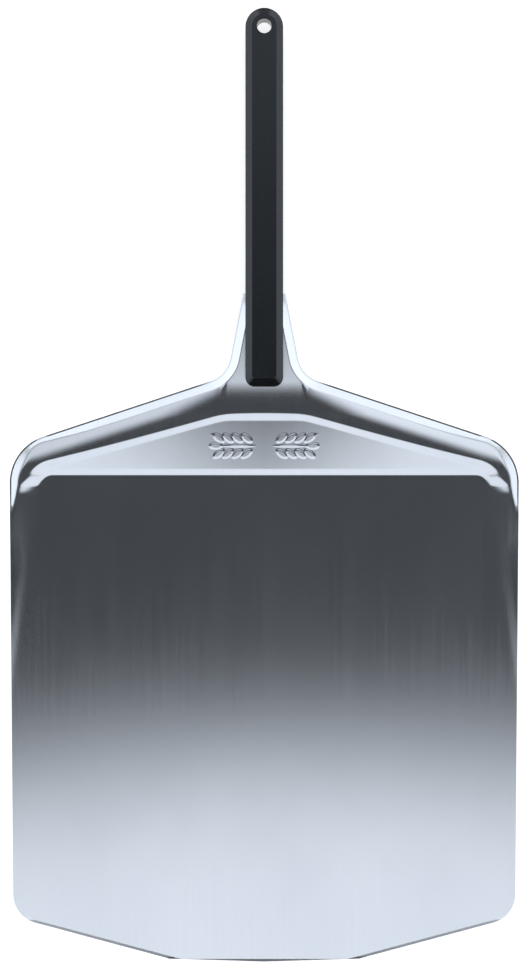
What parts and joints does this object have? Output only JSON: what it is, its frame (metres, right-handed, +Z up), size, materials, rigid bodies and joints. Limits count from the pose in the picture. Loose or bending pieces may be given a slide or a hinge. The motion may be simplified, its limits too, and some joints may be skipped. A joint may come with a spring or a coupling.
{
  "type": "pizza peel",
  "caption": "Long-handled peel: wide flat aluminium blade with bevelled front edge, raised shoulder rim and a rigid faceted nylon grip with a hang hole.",
  "frame": {"origin": "middle of the footprint, on the plane that the flat blade lies on", "axes": "+Z up out of the blade, +Y along the grip away from the leading edge, +X across the blade"},
  "size_m": [0.406, 0.757, 0.0275],
  "materials": {
    "aluminium_sheet": "brushed lengthwise",
    "grip_nylon": "fine moulded texture",
    "stainless": "satin",
    "brass": "machined"
  },
  "bodies": {
    "root": {"pressed_head": "aluminium_sheet", "grip_upper_shell": "grip_nylon", "grip_lower_shell": "grip_nylon", "grip_screw_1": "stainless", "thread_insert_1": "brass", "grip_screw_2": "stainless", "thread_insert_2": "brass", "grip_screw_3": "stainless", "thread_insert_3": "brass", "grip_screw_4": "stainless", "thread_insert_4": "brass", "grip_screw_5": "stainless", "thread_insert_5": "brass"}
  },
  "joints": []
}
